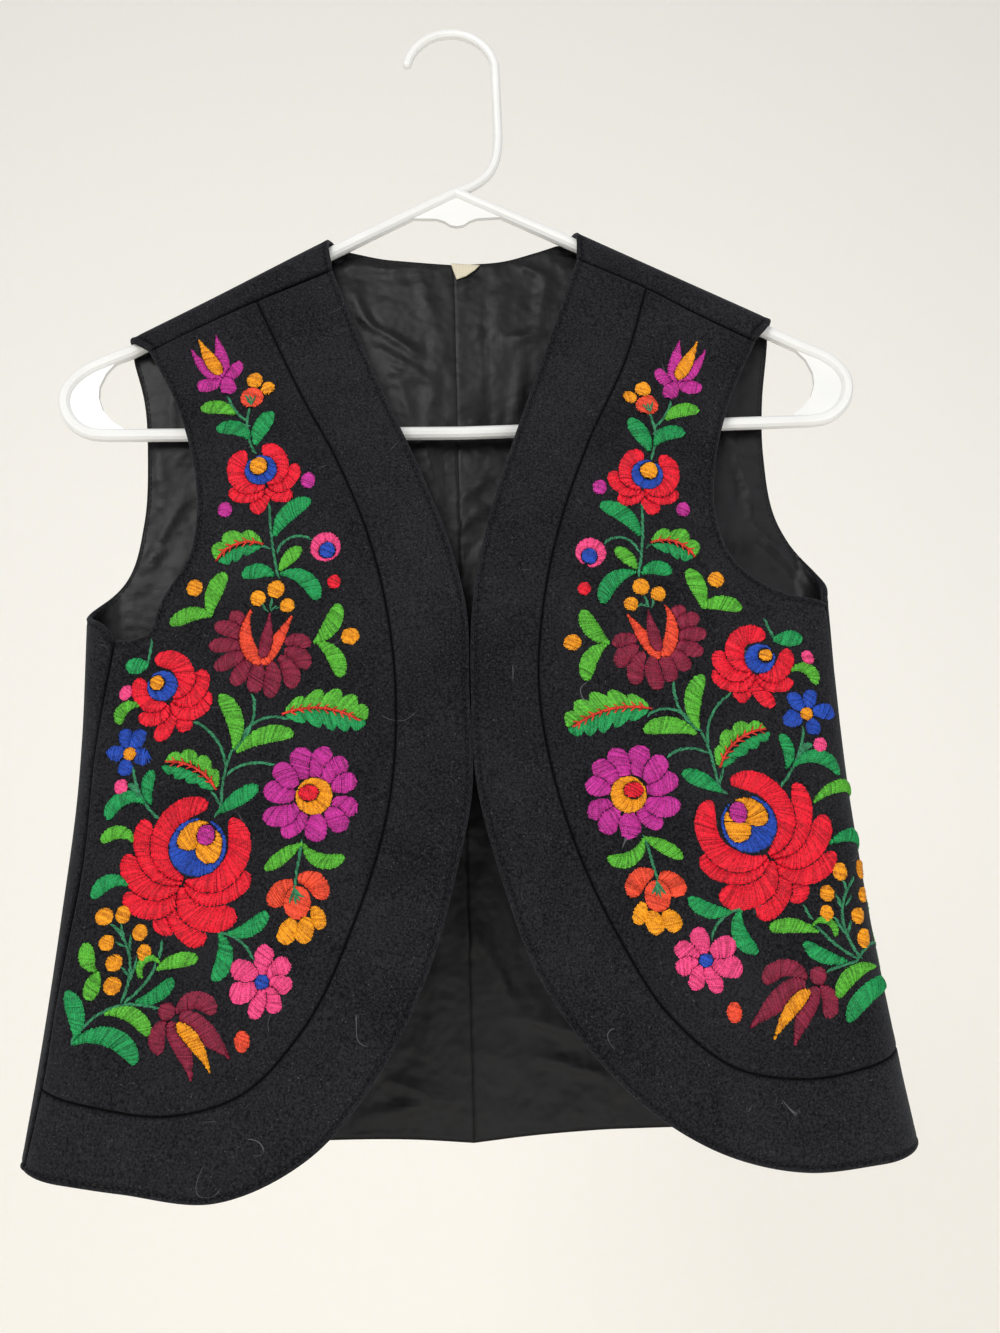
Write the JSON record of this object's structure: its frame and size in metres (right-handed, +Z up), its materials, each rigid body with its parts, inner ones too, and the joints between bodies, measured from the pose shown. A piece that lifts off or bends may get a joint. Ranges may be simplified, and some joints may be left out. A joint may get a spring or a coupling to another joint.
{
  "type": "embroidered folk vest on a hanger",
  "caption": "Black felt folk vest with floral embroidery on both open fronts, wide curved border bands and a dark lining, on a white tubular hanger.",
  "frame": {"origin": "the inner top of the hanger's hook, where it rests on a rail or a wall hook", "axes": "+Z up, +Y towards the wall behind the vest, +X to the right as seen from the front"},
  "size_m": [0.4191, 0.0551, 0.604],
  "materials": {
    "felt": "matt wool felt",
    "lining": "soft satin",
    "label": "matt tape",
    "plastic": "gloss"
  },
  "bodies": {
    "root": {"front_left": "felt", "front_right": "felt", "band_left": "felt", "band_right": "felt", "back_shell": "felt", "lining_left": "lining", "lining_right": "lining", "label": "label", "hanger": "plastic"}
  },
  "joints": []
}
